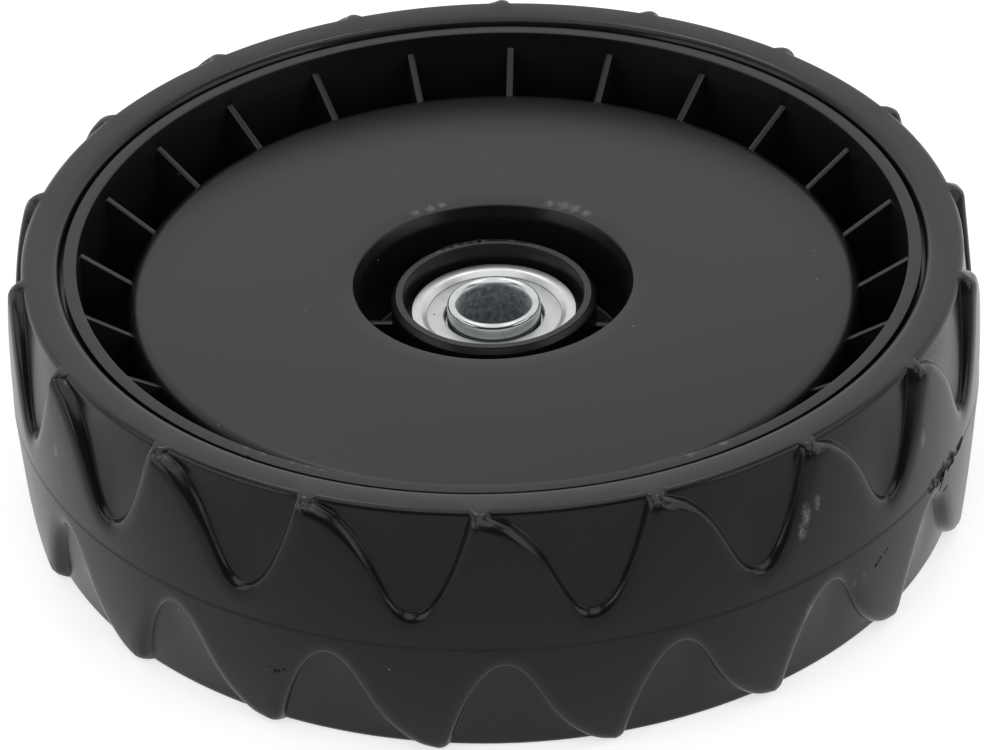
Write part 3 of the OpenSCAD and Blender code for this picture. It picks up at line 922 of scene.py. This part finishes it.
def natural_nylon():
    """Natural nylon, injection moulded: cream and satin."""
    material, tree, shader = new_material("natural_nylon")
    place = add(tree, "TexCoord").outputs["Object"]
    cloud = add(tree, "TexNoise", Vector=place, Scale=1 / (3.3 * MM), Detail=2.0)
    tone = add(tree, "ValToRGB", Fac=cloud.outputs["Fac"])
    tone.color_ramp.elements[0].color = srgb("#c4b998")
    tone.color_ramp.elements[1].color = srgb("#d3c9ab")
    tree.links.new(tone.outputs["Color"], shader.inputs["Base Color"])
    shader.inputs["Roughness"].default_value = 0.4
    shader.inputs["IOR"].default_value = 1.53
    return material


def dress(obj, material):
    obj.data.materials.clear()
    obj.data.materials.append(material)


# Stage, camera and light

def camera():
    data = bpy.data.cameras.new("camera")
    obj = bpy.data.objects.new("camera", data)
    bpy.context.scene.collection.objects.link(obj)
    data.sensor_width = SENSOR
    data.lens = EYE_LENS
    data.clip_start = 0.01
    right = Vector((1, 0, 0))
    up = Vector((0, math.sin(EYE_ELEVATION), math.cos(EYE_ELEVATION)))
    forward = Vector((0, math.cos(EYE_ELEVATION), -math.sin(EYE_ELEVATION)))
    eye = Vector((0, 0, EYE_TARGET_Z)) + right * EYE_RIGHT + up * EYE_UP - forward * EYE_DISTANCE
    rolled_right = right * math.cos(EYE_ROLL) + up * math.sin(EYE_ROLL)
    rolled_up = up * math.cos(EYE_ROLL) - right * math.sin(EYE_ROLL)
    axes = Matrix((rolled_right, rolled_up, -forward)).transposed().to_4x4()
    obj.matrix_world = Matrix.Translation(eye) @ axes
    bpy.context.scene.camera = obj


def floor():
    """White board; reflections see it white behind the wheel and greyer in front of it."""
    deselect()
    bpy.ops.mesh.primitive_circle_add(vertices=64, radius=6, fill_type="NGON", location=(0, 0, -HALF_W))
    obj = added("floor")
    material, tree, shader = new_material("matt_white_board")
    shader.inputs["Base Color"].default_value = srgb("#d8d8d8")
    shader.inputs["Roughness"].default_value = 0.9
    place = add(tree, "TexCoord").outputs["Object"]
    away = add(tree, "VectorMath", {"operation": "LENGTH"}, i0=place)
    # Painted light seen only in reflections: the board glows brighter next to the wheel than further in front,
    # and brightest behind it
    front = add(tree, "MapRange", Value=away.outputs["Value"], From_Min=0.112, From_Max=0.155,
                To_Min=FLOOR_NEAR, To_Max=FLOOR_FRONT)
    back = add(tree, "MapRange", {"interpolation_type": "SMOOTHSTEP"},
               Value=add(tree, "SeparateXYZ", Vector=place).outputs["Y"], From_Min=-0.19, From_Max=0.12)
    level = add(tree, "MapRange", Value=back.outputs["Result"], To_Min=front.outputs["Result"],
                To_Max=FLOOR_BACK)
    mirrored = add(tree, "Emission", Color=srgb("#ffffff"), Strength=level.outputs["Result"])
    paths = add(tree, "LightPath")
    seen = math_node(tree, "MAXIMUM", paths.outputs["Is Camera Ray"], paths.outputs["Is Transmission Ray"])
    glow = add(tree, "Emission", Color=srgb("#ffffff"), Strength=0.62)
    lit = add(tree, "AddShader", i0=shader.outputs["BSDF"], i1=glow.outputs["Emission"])
    direct = add(tree, "MixShader", i0=seen, i1=shader.outputs["BSDF"], i2=lit.outputs["Shader"])
    mixed = add(tree, "MixShader", i0=paths.outputs["Is Glossy Ray"], i1=direct.outputs["Shader"],
                i2=mirrored.outputs["Emission"])
    tree.links.new(mixed.outputs["Shader"], tree.nodes["Material Output"].inputs["Surface"])
    dress(obj, material)


def softbox(name, direction, distance, size, radiance):
    """A lamp of a width and height, aimed at the wheel; its power follows from its radiance."""
    data = bpy.data.lights.new(name, "AREA")
    data.shape = "ELLIPSE" if size[0] == size[1] else "RECTANGLE"
    data.size, data.size_y = size
    area = size[0] * size[1] * (math.pi / 4 if size[0] == size[1] else 1)
    data.energy = radiance * math.pi * area
    obj = bpy.data.objects.new(name, data)
    bpy.context.scene.collection.objects.link(obj)
    obj.location = Vector(direction).normalized() * distance
    obj.rotation_euler = (-obj.location).to_track_quat("-Z", "Y").to_euler()


def studio():
    """White room behind and above the wheel, dark behind the camera, with softboxes at the sides."""
    scene = bpy.context.scene
    scene.view_settings.view_transform = "Standard"
    world = bpy.data.worlds.new("white_room")
    scene.world = world
    world.use_nodes = True
    tree = world.node_tree
    background = tree.nodes["Background"]
    background.inputs["Color"].default_value = srgb("#ffffff")
    way = add(tree, "TexCoord").outputs["Generated"]
    towards = add(tree, "SeparateXYZ", Vector=way)
    behind = add(tree, "MapRange", {"interpolation_type": "SMOOTHSTEP"}, Value=towards.outputs["Y"],
                 From_Min=-0.05, From_Max=0.4, To_Min=0.0, To_Max=1.0)
    up = add(tree, "VectorMath", {"operation": "DOT_PRODUCT"}, i0=way, i1=(0, -0.2, 0.98))
    sky = add(tree, "MapRange", {"interpolation_type": "SMOOTHSTEP"}, Value=up.outputs["Value"],
              From_Min=0.8, From_Max=0.9, To_Min=0.0, To_Max=SKY_LIGHT)
    wall = add(tree, "MapRange", Value=behind.outputs["Result"], To_Min=ROOM_DARK, To_Max=1.0)
    room = add(tree, "Math", {"operation": "MAXIMUM"}, i0=wall.outputs["Result"], i1=sky.outputs["Result"])
    paths = add(tree, "LightPath")
    seen = math_node(tree, "MAXIMUM", paths.outputs["Is Camera Ray"], paths.outputs["Is Transmission Ray"])
    glossy = add(tree, "MapRange", Value=paths.outputs["Is Glossy Ray"], To_Min=ROOM_LIGHT,
                 To_Max=room.outputs["Value"])
    strength = add(tree, "MapRange", Value=seen, To_Min=glossy.outputs["Result"], To_Max=1.0)
    tree.links.new(strength.outputs["Result"], background.inputs["Strength"])
    softbox("top_left", (-0.17, 0.5, 0.85), 1.5, (0.25, 0.25), 5)
    softbox("top_right", (0.2, 0.36, 0.91), 1.5, (0.25, 0.25), 5)
    for side in (-1, 1):
        softbox("side", (0.92 * side, -0.3, 0.44), 1.6, (1.1, 1), 1.1)
        softbox("strip", (0.73 * side, -0.63, 0.26), 1.55, (0.1, 0.5), 3)


camera()
floor()
studio()

POLYPROPYLENE = moulded_polypropylene()
RUBBER = moulded_tyre()
RACE_ZINC = zinc_plate("zinc_plated_pressing", "#c6c9c8", "#e2e4e3", 0.33)
SLEEVE_ZINC = turned_sleeve()
SHIELD_ZINC = zinc_plate("zinc_plated_sheet", "#c0c2c2", "#dadcdb", 0.5,
                         pit=polar(178, 12.7 * MM, FRONT_FACE_Z + SHIELD_Z))
NYLON = natural_nylon()
BALL_STEEL = zinc_plate("polished_ball_steel", "#c8cacc", "#d2d4d6", 0.08)

tyre_piece = tyre()
dress(tyre_piece, RUBBER)
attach(tyre_piece, "wheel")
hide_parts("tyre")

body_piece = wheel_body()
dress(body_piece, POLYPROPYLENE)
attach(body_piece, "wheel")
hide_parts("wheel_body")

for end in ("front", "rear"):
    for part, corners, body, slot, material in (
        ("outer_race", outer_race_corners(), "wheel", "race", RACE_ZINC),
        ("shield", shield_corners(), "wheel", "shield", SHIELD_ZINC),
        ("inner_race", sleeve_corners(), "axle_sleeves", "sleeve", SLEEVE_ZINC),
    ):
        piece = in_hub(turned(f"{end}_{part}_turning", corners, 128), end)
        smooth(piece, 40)
        dress(piece, material)
        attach(piece, body)
        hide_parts(f"{end}_{part}")
    dress(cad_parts[f"{end}_cage"], NYLON)

for name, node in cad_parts.items():
    if "_ball_" in name:
        dress(node, BALL_STEEL)
